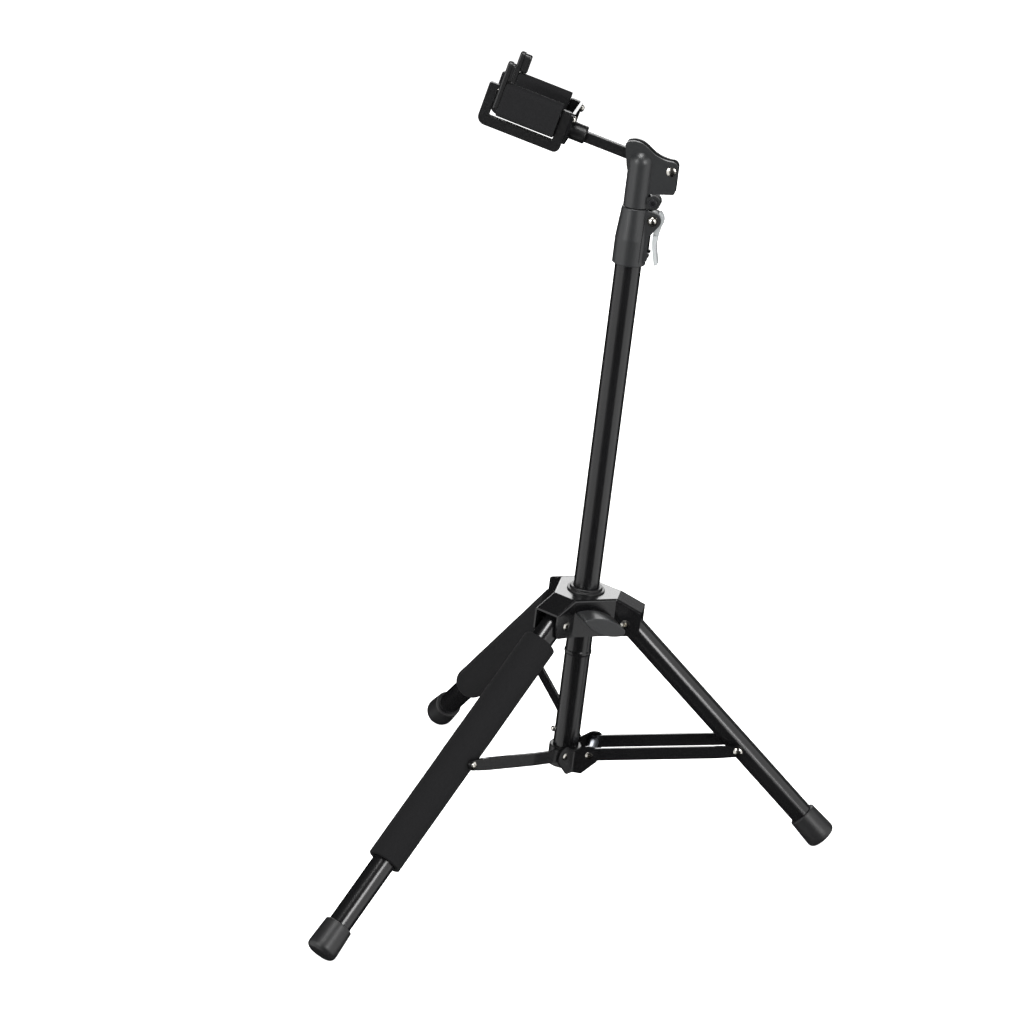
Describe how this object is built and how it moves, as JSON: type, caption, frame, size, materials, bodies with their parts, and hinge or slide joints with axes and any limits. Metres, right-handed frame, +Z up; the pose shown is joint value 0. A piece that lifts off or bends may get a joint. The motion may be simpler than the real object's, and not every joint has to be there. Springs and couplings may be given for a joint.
{
  "type": "guitar stand",
  "caption": "Folding tripod guitar stand: leaning mast, braced tube legs with foam sleeves and rubber feet, height clutch, and a padded neck yoke with self-closing gates.",
  "frame": {"origin": "on the floor, at the middle of the stand's plan", "axes": "+Z up, +X to the stand's right front leg as seen from behind, +Y to the bare rear leg; the instrument stands on the -Y side"},
  "size_m": [0.6802, 0.5127, 0.8764],
  "materials": {
    "black_powder_coat": "satin black powder coat",
    "nickel_plate": "bright nickel plate",
    "zinc_plate": "zinc plated",
    "black_oxide": "black oxide",
    "charcoal_nylon": "moulded, fine satin texture",
    "black_nylon": "moulded, satin",
    "grey_nylon": "moulded, satin",
    "pale_nylon": "moulded, satin",
    "foot_rubber": "moulded matte rubber",
    "black_foam": "closed-cell foam, matte"
  },
  "bodies": {
    "mast": {"mast_tube": "black_powder_coat", "mast_foot_plug": "black_nylon", "mast_foot_rivet": "nickel_plate", "collar_plate_right": "black_powder_coat", "collar_plate_left": "black_powder_coat", "collar_core": "black_nylon", "collar_rivets": "nickel_plate", "collar_spacer": "zinc_plate", "clutch_body": "charcoal_nylon", "clutch_bush": "black_nylon", "clutch_bolt": "nickel_plate"},
    "hub": {"hub_bracket": "black_powder_coat", "hub_bush": "black_nylon", "hub_rivets": "nickel_plate", "wing_nut": "zinc_plate"},
    "wing": {"wing_knob": "grey_nylon", "wing_screw": "zinc_plate"},
    "right_leg": {"right_leg_tube": "black_powder_coat", "right_leg_eyelet": "nickel_plate", "right_foot": "foot_rubber", "right_leg_foam": "black_foam"},
    "left_leg": {"left_leg_tube": "black_powder_coat", "left_leg_eyelet": "nickel_plate", "left_foot": "foot_rubber", "left_leg_foam": "black_foam"},
    "rear_leg": {"rear_leg_tube": "black_powder_coat", "rear_leg_eyelet": "nickel_plate", "rear_foot": "foot_rubber"},
    "right_brace": {"right_brace": "black_powder_coat", "right_brace_screw": "nickel_plate"},
    "left_brace": {"left_brace": "black_powder_coat", "left_brace_screw": "nickel_plate"},
    "rear_brace": {"rear_brace_right": "black_powder_coat", "rear_brace_left": "black_powder_coat", "rear_brace_rivets": "nickel_plate"},
    "post": {"inner_tube": "black_powder_coat", "inner_glide": "black_nylon", "head_housing": "charcoal_nylon", "head_clamp_bolt": "black_oxide", "yoke_pivot_rivet": "nickel_plate"},
    "lever": {"clutch_lever": "pale_nylon"},
    "yoke": {"yoke_arm": "black_powder_coat", "yoke_socket": "black_nylon", "yoke_cross_plate": "black_powder_coat", "right_yoke_frame": "black_powder_coat", "left_yoke_frame": "black_powder_coat", "right_axle": "nickel_plate", "left_axle": "nickel_plate"},
    "right_gate": {"right_pad_core": "zinc_plate", "right_pad": "black_foam", "right_gate": "black_nylon"},
    "left_gate": {"left_pad_core": "zinc_plate", "left_pad": "black_foam", "left_gate": "black_nylon"}
  },
  "joints": [
    {"name": "hub_slide", "type": "slide", "parent": "mast", "child": "hub", "axis": [0, 0.1629, 0.9866], "range_m": [0, 0.1901]},
    {"name": "right_leg_hinge", "type": "hinge", "parent": "hub", "child": "right_leg", "pos_m": [0.04209, -0.03268, 0.2706], "axis": [0.5, 0.8545, -0.1411], "range_deg": [-0.5, 46.3]},
    {"name": "rear_leg_hinge", "type": "hinge", "parent": "hub", "child": "rear_leg", "pos_m": [0, 0.03925, 0.25872], "axis": [-1, 0, 0], "range_deg": [-0.5, 46.3]},
    {"name": "left_leg_hinge", "type": "hinge", "parent": "hub", "child": "left_leg", "pos_m": [-0.04209, -0.03268, 0.2706], "axis": [0.5, -0.8545, 0.1411], "range_deg": [-0.5, 46.3]},
    {"name": "right_brace_hinge", "type": "hinge", "parent": "mast", "child": "right_brace", "pos_m": [0.02537, -0.04856, 0.11521], "axis": [-0.5, -0.8545, 0.1411], "range_deg": [-0.5, 68.41]},
    {"name": "rear_brace_hinge", "type": "hinge", "parent": "mast", "child": "rear_brace", "pos_m": [0, -0.0052, 0.10805], "axis": [1, 0, 0], "range_deg": [-0.5, 68.41]},
    {"name": "left_brace_hinge", "type": "hinge", "parent": "mast", "child": "left_brace", "pos_m": [-0.02537, -0.04856, 0.11521], "axis": [-0.5, 0.8545, -0.1411], "range_deg": [-0.5, 68.41]},
    {"name": "wing_turn", "type": "hinge", "parent": "hub", "child": "wing", "pos_m": [0.02737, 0.00819, 0.27196], "axis": [0.866, 0.4933, -0.0815], "range_deg": [0, 270]},
    {"name": "post_slide", "type": "slide", "parent": "mast", "child": "post", "axis": [0, 0.1629, 0.9866], "range_m": [0, 0.28]},
    {"name": "lever_flip", "type": "hinge", "parent": "mast", "child": "lever", "pos_m": [0, 0.08362, 0.70232], "axis": [1, 0, 0], "range_deg": [0, 60]},
    {"name": "yoke_fold", "type": "hinge", "parent": "post", "child": "yoke", "pos_m": [0, 0.10482, 0.75395], "axis": [-1, 0, 0], "range_deg": [0, 230]},
    {"name": "right_gate_swing", "type": "hinge", "parent": "yoke", "child": "right_gate", "pos_m": [0.0275, -0.03636, 0.83263], "axis": [0, -0.9247, 0.3807], "range_deg": [0, 43], "stiffness_Nm_per_rad": 0.2, "springref_deg": -17.19},
    {"name": "left_gate_swing", "type": "hinge", "parent": "yoke", "child": "left_gate", "pos_m": [-0.0275, -0.03636, 0.83263], "axis": [0, 0.9247, -0.3807], "range_deg": [0, 43], "stiffness_Nm_per_rad": 0.2, "springref_deg": -17.19}
  ],
  "couplings": [
    {"joint": "right_leg_hinge", "follows": "hub_slide", "rad_per_m": 4.2049},
    {"joint": "rear_leg_hinge", "follows": "hub_slide", "rad_per_m": 4.2049},
    {"joint": "left_leg_hinge", "follows": "hub_slide", "rad_per_m": 4.2049},
    {"joint": "right_brace_hinge", "follows": "hub_slide", "rad_per_m": 6.2349},
    {"joint": "rear_brace_hinge", "follows": "hub_slide", "rad_per_m": 6.2349},
    {"joint": "left_brace_hinge", "follows": "hub_slide", "rad_per_m": 6.2349}
  ]
}
